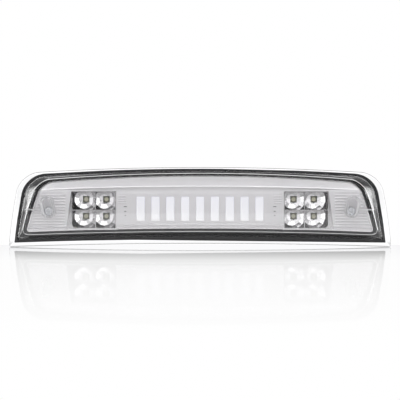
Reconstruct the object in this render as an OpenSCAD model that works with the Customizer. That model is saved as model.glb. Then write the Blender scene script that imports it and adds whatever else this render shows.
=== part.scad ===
// High-mounted third brake light with a cargo lamp at each side, for the rear of a pickup cab.
// +X is to the right as one looks at the lens, +Z is up, and the lens faces -Y.
// The cab sheet is the plane y = 0. The origin is midway between the two mounting screws.
// Heights named *_z are measured up from the lens flange's lower corners.

/* [Overall] */
// Width over the lower corners of the lens flange
lens_w = 411; // [396:1:440]
// Height of the lens flange at its middle, above its lower corners
lens_h = 85.6; // [82:0.2:96]
// How far the lens stands out from the cab sheet
lens_depth = 26; // [24:0.5:34]
// How far the housing's tub reaches in behind the cab sheet
tub_depth = 22; // [20:0.5:30]

/* [Outline] */
// How far each side of the flange leans in over its height
flange_lean = 12; // [8:0.5:16]
// Rise of the flange's lower edge at its middle
low_arch = 3.6; // [0:0.2:5]
// Rise of the flange's upper edge at its middle
high_arch = 6.5; // [2:0.5:9]
// Outward bow of the sides
side_bow = 1.2; // [0:0.1:2]
// Radius of the flange's upper corners
flange_corner = 24; // [16:1:28]
// Radius of the flange's lower corners
flange_toe = 2.5; // [1:0.5:5]

/* [Lens] */
// Wall of the lens
lens_wall = 2.4; // [2:0.1:3]
// Thickness of the lens flange
flange_t = 3; // [2.4:0.1:4]
// Margin of clear flange outside the housing's rim, at the sides
side_margin = 5.8; // [4:0.1:8]
// Margin of clear flange below the housing's rim
low_margin = 4.6; // [3:0.1:7]
// Margin of clear flange above the housing's rim
high_margin = 1.7; // [1:0.1:4]
// Width of the rim that shows outside the foot of the dome
rim_band = 3.2; // [2.4:0.1:5]
// Depth of the dome's sloping shoulder
shoulder_depth = 3.4; // [2:0.1:6]

/* [Housing] */
// Thickness of the housing's rim
rim_t = 5; // [4.6:0.1:8]
// Floor of the shallow pan in the rim
pan_floor = 2; // [1.6:0.1:3]
// Wall and floor of the tub
tub_wall = 2; // [1.6:0.1:3]
// Depth of the groove for the lens's leg
groove_depth = 3.5; // [2.5:0.1:4]
// Width of the lens's leg
leg_w = 2; // [1.6:0.1:2.4]
// Foam gasket between rim and cab sheet
gasket_t = 3; // [2:0.2:5]

/* [Reflector] */
// Bare housing rim between the reflector and the flange's edge, at the lower corners
reflector_inset = 18.8; // [16:0.2:24]
// How far each side of the reflector leans in over its height
reflector_lean = 16.7; // [10:0.5:20]
// Height of the reflector's lower corners
reflector_z = 15.8; // [14:0.2:20]
// Distance from the reflector's upper corners to the flange's
reflector_drop = 10.1; // [9:0.1:14]
// Radius of the reflector's upper corners
reflector_corner = 16; // [10:1:22]
// Thickness of the reflector's plate
reflector_t = 1.8; // [1.4:0.1:2.4]
// Width of the plain strip along the upper edge
strip_w = 9.4; // [6:0.2:12]
// How far the lip around the edge stands up from the plate
lip_h = 2.2; // [1:0.1:3]
// Width of that lip
lip_w = 1.2; // [0.8:0.1:2]
// Width of each end panel, between the cargo lamp and the reflector's lower corner
end_panel_w = 43; // [40:0.5:50]

/* [Brake lamp] */
// Number of light bars
bar_count = 9; // [5:2:11]
// Width of a bar
bar_w = 8; // [4:0.5:10]
// Plain panel outside the last bar
panel_end = 8; // [5:0.5:12]
// Width between the brake panel and a cargo lamp
wedge_w = 14.5; // [13.5:0.5:20]
// Wall of the light box behind the bars
cell_wall = 1.2; // [1:0.1:2]

/* [Cargo lamps] */
// Width of a cargo lamp at its upper edge
cargo_w = 48; // [42:0.5:54]
// How much wider it is at its lower edge
cargo_flare = 5.2; // [2:0.2:8]
// Side of an LED package
cargo_led = 6.2; // [4:0.2:7]
// Depth of the cups behind the reflector's face
cup_depth = 13; // [10:0.5:15]

/* [Boards] */
// Thickness of the circuit boards
board_t = 1.6; // [1:0.2:2]
// Radius of the small screws
small_screw_r = 1.25; // [1:0.05:1.5]
// Radius of the small screws' heads
small_head_r = 1.9; // [1.7:0.1:2.2]
// Slack between pieces that fit together
slack = 0.2; // [0.1:0.05:0.3]

/* [Mounting screws] */
// Distance of the screws below the reflector's upper corners
screw_drop = 30.5; // [28:0.5:33]
// Distance of a screw from the reflector's lower corner
screw_inset = 24.2; // [22:0.2:27]
// Radius of the screw's thread
thread_r = 2.75; // [2.5:0.05:3]
// Radius of the plain neck under the head
neck_r = 2.3; // [2:0.05:2.4]
// Length of thread behind the cab sheet
thread_l = 14; // [10:0.5:20]
// Radius of the screw's head
head_r = 4.4; // [4:0.1:4.6]
// Height of the screw's head
head_h = 3.6; // [3:0.1:4.5]
// Inner radius of the well in the lens
well_r = 5.3; // [5.1:0.1:5.8]
// Wall of the well
well_wall = 1.6; // [1.4:0.1:2]
// Silver strip left between the reflector's upper corners and the well
well_head = 14.6; // [12:0.2:18]

/* [Power inlet] */
// Width inside the socket
socket_w = 22; // [16:1:30]
// Height inside the socket
socket_h = 11; // [8:0.5:14]
// Depth inside the socket
socket_depth = 9; // [7:0.5:14]
// Number of pins
pin_count = 4; // [2:1:6]

/* [Hidden] */

$fn = 48;
LEFT = -1;
RIGHT = 1;

// Outlines are lists: lower half width, upper half width, lower level, upper level,
// lower corner radius, upper corner radius, lower arch, upper arch.
function grow(o, side, low, high) = [
  o[0] + side, o[1] + side, o[2] - low, o[3] + high,
  max(o[4] + (side + low) / 2, 0.6), max(o[5] + (side + high) / 2, 0.6), o[6], o[7]
];

flange_o = [
  lens_w / 2, lens_w / 2 - flange_lean, 0, lens_h - high_arch,
  flange_toe, flange_corner, low_arch, high_arch
];
rim_grown = grow(flange_o, -side_margin, -low_margin, -high_margin);
rim_o = [for (i = [0:7]) i == 5 ? flange_corner : rim_grown[i]];
foot_o = grow(rim_o, -rim_band, -rim_band + 0.2, -rim_band + 1.2);
reflector_half = lens_w / 2 - reflector_inset;
reflector_top = lens_h - high_arch - reflector_drop;
screw_z = reflector_top - screw_drop;
reflector_o = [
  reflector_half, reflector_half - reflector_lean, reflector_z, reflector_top,
  2.5, reflector_corner, low_arch + 0.2, high_arch + 1
];
front_o = grow(reflector_o, 3.6, 3.0, 2.7);
shoulder_o = grow(front_o, 2.2, 3.2, 1.6);
front_in_o = grow(front_o, -lens_wall + 0.6, -lens_wall + 0.6, -lens_wall + 0.6);
shoulder_in_o = grow(shoulder_o, -lens_wall, -lens_wall, -lens_wall);
foot_in_o = grow(foot_o, -leg_w - 0.7, -leg_w - 0.7, -leg_w - 0.4);
leg_out_o = grow(foot_o, -0.5, -0.5, -0.3);
leg_in_o = grow(leg_out_o, -leg_w, -leg_w, -leg_w + 0.2);
groove_out_o = grow(leg_out_o, slack, slack, slack);
groove_in_o = grow(leg_in_o, -slack, -slack, -slack);
pan_o = grow(reflector_o, 0.4, 0.4, 0.4);

// Levels along Y, from the cab sheet forwards.
rim_back_y = -gasket_t;
deck_y = rim_back_y - rim_t;
flange_y = deck_y - flange_t;
front_y = -lens_depth;
pan_y = rim_back_y - pan_floor;
plate_y = pan_y - reflector_t;
groove_y = deck_y + groove_depth;
adhesive_t = 0.7;

// The brake panel fills what the end panels and the cargo lamps leave of the width.
cargo_low_x = reflector_half - end_panel_w;
cargo_high_x = cargo_low_x - cargo_flare;
cargo_in_x = cargo_high_x - cargo_w;
panel_half = cargo_in_x - wedge_w;
bar_pitch = 2 * (panel_half - panel_end - bar_w / 2) / (bar_count - 1);
cargo_z = reflector_z + 4;
cargo_top = reflector_top - strip_w;
cargo_h = cargo_top - cargo_z;
bar_z = cargo_z + 8.6;
bar_top = cargo_top - 5.9;
bar_h = bar_top - bar_z;
bar_mid = (bar_z + bar_top) / 2;
bar_xs = [for (i = [0:bar_count - 1]) (i - (bar_count - 1) / 2) * bar_pitch];

// Tub, boards and light box.
tub_o = [
  cargo_low_x + 5.3, cargo_low_x + 1.3, cargo_z - 6.2, cargo_top + 6.4, 5, 8, low_arch - 1.4, high_arch - 2
];
tub_in_o = grow(tub_o, -tub_wall, -tub_wall, -tub_wall);
tub_floor_y = tub_depth - tub_wall;
web_t = 1.5;
web_y = plate_y + reflector_t;
box_y = web_y + web_t;
box_back_y = 6;
board_back_y = box_back_y + board_t;
box_z = bar_z - 0.9 - cell_wall;
box_top = bar_top + 0.9 + cell_wall;
box_half = panel_half + 0.5;
board_half = box_half + 3;
board_z = box_z - 4;
board_top = box_top + 6;
board_screw_x = board_half - 20;
board_screw_zs = [board_z + 2, board_top - 3];
cup_back_y = plate_y + cup_depth + 1.8;
cargo_board_y = cup_back_y + 0.1;
cargo_board_back_y = cargo_board_y + board_t;
cargo_mid_z = cargo_z + cargo_h / 2;
cargo_led_xs = [cargo_in_x + cargo_w / 4 - 1, cargo_in_x + cargo_w * 3 / 4 - 3];
cargo_led_zs = [cargo_z + cargo_h / 3, cargo_z + cargo_h * 4 / 5 - 0.3];
cargo_screw_x = (cargo_led_xs[0] + cargo_led_xs[1]) / 2;
pillar_x = (box_half + cargo_in_x) / 2 + 0.6;
pillar_r = 2.6;
pillar_zs = [cargo_z + 6.5, cargo_top - 6.5];
pillar_back_y = 13;

// Mounting screws, well and sleeve.
screw_x = reflector_half - screw_inset;
seat_t = 2.5;
seat_y = pan_y - 0.2 - seat_t;
seal_t = 0.8;
washer_t = 0.9;
washer_y = seat_y - seal_t - washer_t;
washer_r = well_r - 0.5;
sleeve_in_r = thread_r + 0.15;
sleeve_out_r = sleeve_in_r + 1.7;
boss_r = sleeve_out_r + 1.9;
well_lean = 2;
well_rise = screw_drop - well_head - well_r - well_wall;

// Power inlet and vents.
inlet_z = bar_mid;
inlet_flange_y = tub_depth + 1;
inlet_flange_t = 3;
socket_wall = 1.8;
socket_y = inlet_flange_y + inlet_flange_t;
inlet_screw_x = socket_w / 2 + socket_wall + 4.5;
inlet_hole_w = socket_w - 2;
inlet_hole_h = socket_h - 1;
inlet_spigot_y = tub_floor_y - 3;
pin_pitch = socket_w / (pin_count + 1);
pin_xs = [for (i = [0:pin_count - 1]) (i - (pin_count - 1) / 2) * pin_pitch];
header_y = board_back_y + 4.4;
vent_x = board_half - 26;
vent_r = 3;
vent_cap_r = 6;
plug_w = 6;
plug_h = 8;
plug_t = 3.2;
lead_r = 0.8;

// ---- Outline and shape helpers ----

function turned(d) = d > 180 ? d - 360 : (d <= -180 ? d + 360 : d);

// Points of the arc that rounds corner b between a and c.
function corner(a, b, c, r, n) =
  let (
    u = (a - b) / norm(a - b),
    v = (c - b) / norm(c - b),
    half = acos(u * v) / 2,
    centre = b + (u + v) / norm(u + v) * r / sin(half),
    first = b + u * r / tan(half) - centre,
    last = b + v * r / tan(half) - centre,
    start = atan2(first[1], first[0]),
    sweep = turned(atan2(last[1], last[0]) - start)
  )
  [for (i = [0:n]) centre + r * [cos(start + sweep * i / n), sin(start + sweep * i / n)]];

// Points inside the straight stretch from a to b.
function between(a, b, n) = [for (i = [1:n - 1]) a + (b - a) * i / n];

function straight(o) =
  let (
    lb = [-o[0], o[2]],
    rb = [o[0], o[2]],
    rt = [o[1], o[3]],
    lt = [-o[1], o[3]],
    c1 = corner(lt, lb, rb, o[4], 4),
    c2 = corner(lb, rb, rt, o[4], 4),
    c3 = corner(rb, rt, lt, o[5], 10),
    c4 = corner(rt, lt, lb, o[5], 10)
  )
  concat(
    c1, between(c1[4], c2[0], 16), c2, between(c2[4], c3[0], 6),
    c3, between(c3[10], c4[0], 16), c4, between(c4[10], c1[0], 6)
  );

// The straight outline, bowed at its sides and arched along its edges.
function outline(o) = [
  for (p = straight(o))
    let (
      t = (p[1] - o[2]) / (o[3] - o[2]),
      w = o[0] + (o[1] - o[0]) * t,
      rise = o[6] + (o[7] - o[6]) * t
    )
    [p[0] * (1 + side_bow * 4 * t * (1 - t) / w), p[1] + rise * (1 - pow(p[0] / w, 2))]
];

module in_place() {
  translate([0, 0, -screw_z])
    children();
}

module prism(points, y0, y1) {
  translate([0, y1, 0])
    rotate([90, 0, 0])
      linear_extrude(y1 - y0)
        polygon(points);
}

module slab(o, y0, y1) {
  prism(outline(o), y0, y1);
}

module block(x0, x1, y0, y1, z0, z1) {
  translate([x0, y0, z0])
    cube([x1 - x0, y1 - y0, z1 - z0]);
}

module peg(x, z, y0, y1, r) {
  translate([x, y1, z])
    rotate([90, 0, 0])
      cylinder(h = y1 - y0, r = r);
}

module tube(x, z, y0, y1, r_in, r_out) {
  difference() {
    peg(x, z, y0, y1, r_out);
    peg(x, z, y0 - 1, y1 + 1, r_in);
  }
}

// One closed skin through a list of [outline, y] rings, from the outer cap to the inner one.
module skin(rings) {
  loops = [for (r = rings) outline(r[0])];
  n = len(loops[0]);
  last = len(rings) - 1;
  points = [for (k = [0:last]) for (p = loops[k]) [p[0], rings[k][1], p[1]]];
  sides = [
    for (k = [0:last - 1]) for (i = [0:n - 1])
      [k * n + i, k * n + (i + 1) % n, (k + 1) * n + (i + 1) % n, (k + 1) * n + i]
  ];
  polyhedron(points, concat([[for (i = [n - 1:-1:0]) i]], sides, [[for (i = [0:n - 1]) last * n + i]]));
}

// Stadium that follows the well from the screw up to its upper end.
module well_shape(side, y0, y1, r) {
  x0 = side * screw_x;
  x1 = side * (screw_x + well_lean);
  along = [x1 - x0, well_rise] / norm([x1 - x0, well_rise]);
  across = [-along[1], along[0]] * r;
  low = [x0, screw_z];
  high = [x1, screw_z + well_rise];
  peg(x0, screw_z, y0, y1, r);
  peg(x1, screw_z + well_rise, y0, y1, r);
  prism([low - across, high - across, high + across, low + across], y0, y1);
}

// Corners of one cargo lamp's outline, grown all round by g.
function cargo_points(side, g) = [
  for (p = [
    [cargo_in_x - g, cargo_z - g], [cargo_low_x + g, cargo_z - g],
    [cargo_high_x + g, cargo_top + g], [cargo_in_x - g, cargo_top + g]
  ]) [side * p[0], p[1]]
];

// ---- Shells ----

module rear_housing() color([0.12, 0.12, 0.13]) in_place() {
  difference() {
    union() {
      slab(rim_o, deck_y, rim_back_y);
      slab(tub_o, rim_back_y, tub_depth);
      for (s = [LEFT, RIGHT]) peg(s * screw_x, screw_z, rim_back_y, -0.5, boss_r);
    }
    difference() {
      slab(groove_out_o, deck_y - 1, groove_y);
      slab(groove_in_o, deck_y - 2, groove_y + 1);
    }
    slab(pan_o, deck_y - 1, pan_y);
    slab(tub_in_o, pan_y - 1, tub_floor_y);
    for (s = [LEFT, RIGHT]) {
      peg(s * screw_x, screw_z, deck_y - 1, 1, sleeve_out_r + slack / 4);
      peg(s * vent_x, bar_mid, tub_floor_y - 1, tub_depth + 1, vent_r);
      for (z = pillar_zs) peg(s * pillar_x, z, tub_floor_y - 1, tub_depth + 1, small_screw_r + slack);
      peg(s * inlet_screw_x, inlet_z, tub_floor_y - 1, tub_depth + 1, small_screw_r + slack / 4);
    }
    block(
      -inlet_hole_w / 2 - slack, inlet_hole_w / 2 + slack, tub_floor_y - 1, tub_depth + 1,
      inlet_z - inlet_hole_h / 2 - slack, inlet_z + inlet_hole_h / 2 + slack
    );
  }
  for (s = [LEFT, RIGHT]) {
    for (z = board_screw_zs) {
      tube(s * board_screw_x, z, board_back_y, tub_floor_y, small_screw_r + slack / 4, 2.6);
    }
    for (z = pillar_zs) {
      tube(s * pillar_x, z, pillar_back_y + slack, tub_floor_y, small_screw_r + slack, pillar_r);
    }
    for (z = [cargo_z + 4, cargo_top - 4]) {
      peg(s * (cargo_high_x - 4), z, cargo_board_back_y + slack, tub_floor_y, 2);
    }
    tube(s * inlet_screw_x, inlet_z, tub_floor_y - 6, tub_floor_y, small_screw_r + slack / 4, 3);
  }
}

module outer_lens() color([0.93, 0.94, 0.96, 0.4]) in_place() {
  difference() {
    union() {
      skin([
        [grow(front_o, -0.7, -0.7, -0.7), front_y],
        [front_o, front_y + 0.7],
        [shoulder_o, front_y + shoulder_depth],
        [grow(foot_o, -0.9, -0.5, -0.5), flange_y - 1.4],
        [foot_o, flange_y],
        [grow(flange_o, -0.5, -0.5, -0.5), flange_y],
        [flange_o, flange_y + 0.5],
        [flange_o, deck_y],
        [leg_out_o, deck_y],
        [leg_out_o, groove_y - adhesive_t],
        [leg_in_o, groove_y - adhesive_t],
        [leg_in_o, deck_y - 0.5],
        [foot_in_o, flange_y - 1],
        [shoulder_in_o, front_y + shoulder_depth + 1],
        [front_in_o, front_y + lens_wall]
      ]);
      for (s = [LEFT, RIGHT]) {
        well_shape(s, front_y + lens_wall / 2, pan_y - 0.2, well_r + well_wall);
        web(s);
      }
    }
    for (s = [LEFT, RIGHT]) {
      well_shape(s, front_y - 1, seat_y, well_r);
      peg(s * screw_x, screw_z, seat_y - 1, pan_y + 1, thread_r + 0.5);
    }
  }
}

// Thin web that ties the well to the side of the dome.
module web(side) {
  x0 = side * (screw_x + well_r + well_wall / 2);
  x1 = side * (reflector_half - 2);
  block(min(x0, x1), max(x0, x1), front_y + lens_wall / 2, plate_y - lip_h - 1, screw_z + 1, screw_z + 2.4);
}

module lens_adhesive() color([0.08, 0.08, 0.09]) in_place() {
  difference() {
    slab(groove_out_o, groove_y - adhesive_t, groove_y);
    slab(groove_in_o, groove_y - adhesive_t - 1, groove_y + 1);
  }
}

module cab_gasket() color([0.18, 0.18, 0.19]) in_place() {
  difference() {
    slab(grow(rim_o, -1, -1, -1), rim_back_y, 0);
    slab(grow(tub_o, 0.6, 0.6, 0.6), rim_back_y - 1, 1);
    for (s = [LEFT, RIGHT]) peg(s * screw_x, screw_z, rim_back_y - 1, 1, boss_r + 0.5);
  }
}

// ---- Reflector ----

module reflector_bezel() color([0.78, 0.77, 0.78]) in_place() {
  difference() {
    union() {
      slab(reflector_o, plate_y, pan_y);
      difference() {
        slab(reflector_o, plate_y - lip_h, plate_y);
        slab(grow(reflector_o, -lip_w, -lip_w, -lip_w), plate_y - lip_h - 1, plate_y + 1);
      }
      difference() {
        slab(reflector_o, plate_y - 0.9, plate_y);
        translate([0, 0, 3 - strip_w]) slab(grow(reflector_o, 4, 9, 0), plate_y - 2, plate_y + 1);
      }
    }
    for (x = bar_xs) {
      block(x - bar_w / 2 - slack, x + bar_w / 2 + slack, plate_y - 3, pan_y + 1, bar_z - slack, bar_top + slack);
    }
    for (s = [LEFT, RIGHT]) {
      prism(cargo_points(s, slack), plate_y - 3, pan_y + 1);
      well_shape(s, plate_y - 3, pan_y + 1, well_r + well_wall + slack);
    }
  }
  for (s = [LEFT, RIGHT]) {
    for (z = pillar_zs) difference() {
      peg(s * pillar_x, z, pan_y, pillar_back_y, pillar_r);
      peg(s * pillar_x, z, pillar_back_y - 9, pillar_back_y + 1, small_screw_r + slack / 4);
    }
  }
}

module pan_screw(x, z, head_y, tip_y) {
  peg(x, z, min(head_y, tip_y), max(head_y, tip_y), small_screw_r);
  if (head_y > tip_y) tube(x, z, head_y, head_y + 1.4, 0.7, small_head_r);
  if (head_y < tip_y) tube(x, z, head_y - 1.4, head_y, 0.7, small_head_r);
}

module bezel_screws() color([0.35, 0.35, 0.37]) in_place() {
  for (s = [LEFT, RIGHT]) for (z = pillar_zs) pan_screw(s * pillar_x, z, tub_depth, pillar_back_y - 8);
}

// ---- Brake lamp ----

module brake_diffuser() color([0.93, 0.93, 0.98]) in_place() {
  block(-box_half, box_half, web_y, web_y + web_t, box_z, box_top);
  for (x = bar_xs) block(x - bar_w / 2, x + bar_w / 2, plate_y + 0.4, web_y, bar_z, bar_top);
}

module brake_cell_divider() color([0.95, 0.95, 0.95]) in_place() {
  difference() {
    block(-box_half, box_half, box_y, box_back_y, box_z, box_top);
    for (x = bar_xs) {
      block(
        x - (bar_pitch - cell_wall) / 2, x + (bar_pitch - cell_wall) / 2,
        box_y - 1, box_back_y + 1, box_z + cell_wall, box_top - cell_wall
      );
    }
  }
}

module brake_led_board() color([0.1, 0.35, 0.2]) in_place() {
  difference() {
    block(-board_half, board_half, box_back_y, board_back_y, board_z, board_top);
    for (s = [LEFT, RIGHT]) {
      for (z = board_screw_zs) {
        peg(s * board_screw_x, z, box_back_y - 1, board_back_y + 1, small_screw_r + slack);
      }
      for (z = pillar_zs) {
        peg(s * pillar_x, z, box_back_y - 1, board_back_y + 1, pillar_r + slack);
      }
    }
  }
}

module brake_leds() color([0.9, 0.3, 0.15]) in_place() {
  for (x = bar_xs) block(x - 1.75, x + 1.75, box_back_y - 1.5, box_back_y, bar_mid - 1.4, bar_mid + 1.4);
}

module brake_resistors() color([0.15, 0.15, 0.16]) in_place() {
  for (i = [1:3]) for (s = [LEFT, RIGHT]) {
    block(
      s * i * bar_pitch - 1.6, s * i * bar_pitch + 1.6, board_back_y, board_back_y + 0.6,
      bar_mid - 9, bar_mid - 7.4
    );
  }
}

module brake_board_screws() color([0.7, 0.7, 0.72]) in_place() {
  for (s = [LEFT, RIGHT]) for (z = board_screw_zs) pan_screw(s * board_screw_x, z, box_back_y, box_back_y + 9);
}

module brake_board_header() color([0.9, 0.88, 0.8]) in_place() {
  difference() {
    block(-socket_w / 2, socket_w / 2, board_back_y, header_y, inlet_z - 3.5, inlet_z + 3.5);
    for (x = pin_xs) peg(x, inlet_z, header_y - 2.4, header_y + 1, lead_r + slack);
  }
}

module supply_leads() color([0.75, 0.12, 0.1]) in_place() {
  for (x = pin_xs) peg(x, inlet_z, header_y - 2.2, inlet_spigot_y - slack, lead_r);
}

// ---- Cargo lamps ----

// Four-sided cup that narrows from the face to the LED's hole.
module cup(x0, x1, z0, z1, lx, lz) {
  f = plate_y - 0.01;
  b = plate_y + cup_depth;
  g = cargo_led / 2 + 0.9;
  points = [
    [x0, f, z0], [x1, f, z0], [x1, f, z1], [x0, f, z1],
    [lx - g, b, lz - g], [lx + g, b, lz - g], [lx + g, b, lz + g], [lx - g, b, lz + g]
  ];
  faces = [[3, 2, 1, 0], [4, 5, 6, 7], [0, 1, 5, 4], [1, 2, 6, 5], [2, 3, 7, 6], [3, 0, 4, 7]];
  polyhedron(points, faces);
}

// The right-hand lamp; the left-hand one is its mirror image.
module cargo_reflector() {
  mid_x = cargo_screw_x;
  wall = 0.9;
  difference() {
    union() {
      prism(cargo_points(RIGHT, 0), plate_y, cup_back_y);
      prism(cargo_points(RIGHT, 1.6), pan_y + slack, pan_y + 1.6);
    }
    for (i = [0, 1]) for (j = [0, 1]) {
      x0 = i == 0 ? cargo_in_x + wall : mid_x + wall / 2;
      x1 = i == 0 ? mid_x - wall / 2 : cargo_high_x - wall;
      z0 = j == 0 ? cargo_z + wall : cargo_mid_z + wall / 2;
      z1 = j == 0 ? cargo_mid_z - wall / 2 : cargo_top - wall;
      cup(x0, x1, z0, z1, cargo_led_xs[i], cargo_led_zs[j]);
      h = cargo_led / 2 + 0.4;
      block(
        cargo_led_xs[i] - h, cargo_led_xs[i] + h, plate_y + cup_depth - 1, cup_back_y + 1,
        cargo_led_zs[j] - h, cargo_led_zs[j] + h
      );
    }
    cargo_screw_holes(cup_back_y - 5, cup_back_y + 1, small_screw_r + slack / 4);
  }
}

module cargo_screw_holes(y0, y1, r) {
  for (z = [cargo_z + 4.5, cargo_top - 4.5]) peg(cargo_screw_x, z, y0, y1, r);
}

module cargo_board() {
  difference() {
    block(
      cargo_in_x + 1, cargo_high_x - 1, cargo_board_y, cargo_board_back_y, cargo_z + 1.5, cargo_top - 1.5
    );
    cargo_screw_holes(cargo_board_y - 1, cargo_board_back_y + 1, small_screw_r + slack);
  }
}

module cargo_leds() {
  for (x = cargo_led_xs) for (z = cargo_led_zs) {
    h = cargo_led / 2;
    difference() {
      block(x - h, x + h, cargo_board_y - 1.6, cargo_board_y, z - h, z + h);
      peg(x, z, cargo_board_y - 2.6, cargo_board_y - 1.1, h * 0.72);
    }
  }
}

module mirrored() {
  mirror([1, 0, 0])
    children();
}

module left_cargo_reflector() color([0.85, 0.85, 0.86]) in_place() mirrored() cargo_reflector();
module right_cargo_reflector() color([0.85, 0.85, 0.86]) in_place() cargo_reflector();
module left_cargo_board() color([0.1, 0.35, 0.2]) in_place() mirrored() cargo_board();
module right_cargo_board() color([0.1, 0.35, 0.2]) in_place() cargo_board();
module left_cargo_leds() color([0.95, 0.93, 0.75]) in_place() mirrored() cargo_leds();
module right_cargo_leds() color([0.95, 0.93, 0.75]) in_place() cargo_leds();

module cargo_resistors() color([0.15, 0.15, 0.16]) in_place() {
  for (s = [LEFT, RIGHT]) for (i = [0, 1]) {
    x = s * cargo_led_xs[i];
    block(x - 1.6, x + 1.6, cargo_board_back_y, cargo_board_back_y + 0.6, cargo_mid_z + 1, cargo_mid_z + 2.6);
  }
}

module cargo_board_screws() color([0.7, 0.7, 0.72]) in_place() {
  for (s = [LEFT, RIGHT]) for (z = [cargo_z + 4.5, cargo_top - 4.5]) {
    pan_screw(s * cargo_screw_x, z, cargo_board_back_y, cup_back_y - 4.6);
  }
}

// ---- Leads between the boards ----

lead_y = cargo_board_back_y + plug_t / 2;
brake_plug_x = board_half - plug_w - 8;
cargo_plug_x = cargo_in_x + 2;

module lead_plugs() color([0.9, 0.88, 0.8]) in_place() {
  for (s = [LEFT, RIGHT]) {
    plug(s, brake_plug_x, board_back_y, cargo_board_back_y + plug_t);
    plug(s, cargo_plug_x, cargo_board_back_y, cargo_board_back_y + plug_t);
  }
}

module plug(side, x, y0, y1) {
  x0 = side > 0 ? x : -x - plug_w;
  block(x0, x0 + plug_w, y0, y1, cargo_mid_z - plug_h / 2, cargo_mid_z + plug_h / 2);
}

module cargo_leads(side) {
  for (k = [-1, 0, 1]) {
    translate([side * (brake_plug_x + plug_w), lead_y, cargo_mid_z + k * 2.2])
      rotate([0, side * 90, 0])
        cylinder(h = cargo_plug_x - brake_plug_x - plug_w, r = lead_r);
  }
}

module left_cargo_leads() color([0.1, 0.1, 0.12]) in_place() cargo_leads(LEFT);
module right_cargo_leads() color([0.1, 0.1, 0.12]) in_place() cargo_leads(RIGHT);

// ---- Mounting screws ----

module screw_sleeve(side) {
  tube(side * screw_x, screw_z, pan_y - 0.1, -0.3, sleeve_in_r, sleeve_out_r);
}

module mounting_screw(side) {
  x = side * screw_x;
  difference() {
    union() {
      peg(x, screw_z, washer_y - head_h, washer_y, head_r);
      peg(x, screw_z, washer_y, 0, neck_r);
      peg(x, screw_z, 0, thread_l, thread_r);
      translate([x, thread_l, screw_z])
        rotate([-90, 0, 0])
          cylinder(h = 2.2, r1 = thread_r - 0.2, r2 = 0.8);
    }
    translate([x, washer_y - head_h + 1, screw_z])
      rotate([90, 0, 0])
        for (a = [0, 90]) rotate([0, 0, a]) translate([-2.4, -0.5, -1]) cube([4.8, 1, 4]);
  }
}

module screw_washer(side) {
  tube(side * screw_x, screw_z, washer_y, washer_y + washer_t, neck_r + 0.3, washer_r);
}

module screw_seal(side) {
  tube(side * screw_x, screw_z, washer_y + washer_t, seat_y, neck_r + 0.1, washer_r - 0.2);
}

module left_screw_sleeve() color([0.75, 0.7, 0.5]) in_place() screw_sleeve(LEFT);
module right_screw_sleeve() color([0.75, 0.7, 0.5]) in_place() screw_sleeve(RIGHT);
module left_mounting_screw() color([0.8, 0.8, 0.82]) in_place() mounting_screw(LEFT);
module right_mounting_screw() color([0.8, 0.8, 0.82]) in_place() mounting_screw(RIGHT);
module left_screw_washer() color([0.7, 0.7, 0.72]) in_place() screw_washer(LEFT);
module right_screw_washer() color([0.7, 0.7, 0.72]) in_place() screw_washer(RIGHT);
module left_screw_seal() color([0.1, 0.1, 0.1]) in_place() screw_seal(LEFT);
module right_screw_seal() color([0.1, 0.1, 0.1]) in_place() screw_seal(RIGHT);

// ---- Power inlet and vents ----

module inlet_box(w, h, y0, y1) {
  block(-w / 2, w / 2, y0, y1, inlet_z - h / 2, inlet_z + h / 2);
}

module power_inlet() color([0.1, 0.1, 0.11]) in_place() {
  difference() {
    union() {
      inlet_box(inlet_hole_w, inlet_hole_h, inlet_spigot_y, inlet_flange_y);
      inlet_box(2 * inlet_screw_x + 7, socket_h + 2 * socket_wall, inlet_flange_y, socket_y);
      inlet_box(socket_w + 2 * socket_wall, socket_h + 2 * socket_wall, socket_y, socket_y + socket_depth);
      block(
        -3, 3, socket_y, socket_y + socket_depth - 3,
        inlet_z + socket_h / 2 + socket_wall, inlet_z + socket_h / 2 + socket_wall + 1.6
      );
    }
    inlet_box(socket_w, socket_h, socket_y, socket_y + socket_depth + 1);
    for (x = pin_xs) peg(x, inlet_z, inlet_spigot_y - 1, socket_y + 1, lead_r + slack / 4);
    for (s = [LEFT, RIGHT]) {
      peg(s * inlet_screw_x, inlet_z, inlet_flange_y - 1, socket_y + 1, small_screw_r + slack);
    }
  }
}

module inlet_pins() color([0.8, 0.65, 0.3]) in_place() {
  for (x = pin_xs) peg(x, inlet_z, inlet_spigot_y, socket_y + socket_depth - 2.5, lead_r);
}

module inlet_seal() color([0.75, 0.3, 0.15]) in_place() {
  difference() {
    inlet_box(2 * inlet_screw_x + 5, socket_h + 2 * socket_wall - 1, tub_depth, inlet_flange_y);
    inlet_box(inlet_hole_w + 1, inlet_hole_h + 1, tub_depth - 1, inlet_flange_y + 1);
    for (s = [LEFT, RIGHT]) {
      peg(s * inlet_screw_x, inlet_z, tub_depth - 1, inlet_flange_y + 1, small_screw_r + slack);
    }
  }
}

module inlet_screws() color([0.35, 0.35, 0.37]) in_place() {
  for (s = [LEFT, RIGHT]) pan_screw(s * inlet_screw_x, inlet_z, socket_y, tub_floor_y - 5);
}

module vent_caps() color([0.12, 0.12, 0.13]) in_place() {
  for (s = [LEFT, RIGHT]) difference() {
    union() {
      peg(s * vent_x, bar_mid, tub_floor_y - 1.5, tub_depth, vent_r - slack / 4);
      peg(s * vent_x, bar_mid, tub_depth, tub_depth + 3, vent_cap_r);
    }
    peg(s * vent_x, bar_mid, tub_floor_y - 2.5, tub_depth + 1.8, vent_r - 1);
    for (a = [0, 60, 120]) translate([s * vent_x, tub_depth + 0.9, bar_mid]) rotate([0, a, 0])
      cube([2 * vent_cap_r + 2, 0.8, 1.4], center = true);
  }
}

module vent_membranes() color([0.95, 0.95, 0.95]) in_place() {
  for (s = [LEFT, RIGHT]) peg(s * vent_x, bar_mid, tub_floor_y - 1.9, tub_floor_y - 1.5, vent_r - slack);
}

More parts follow.
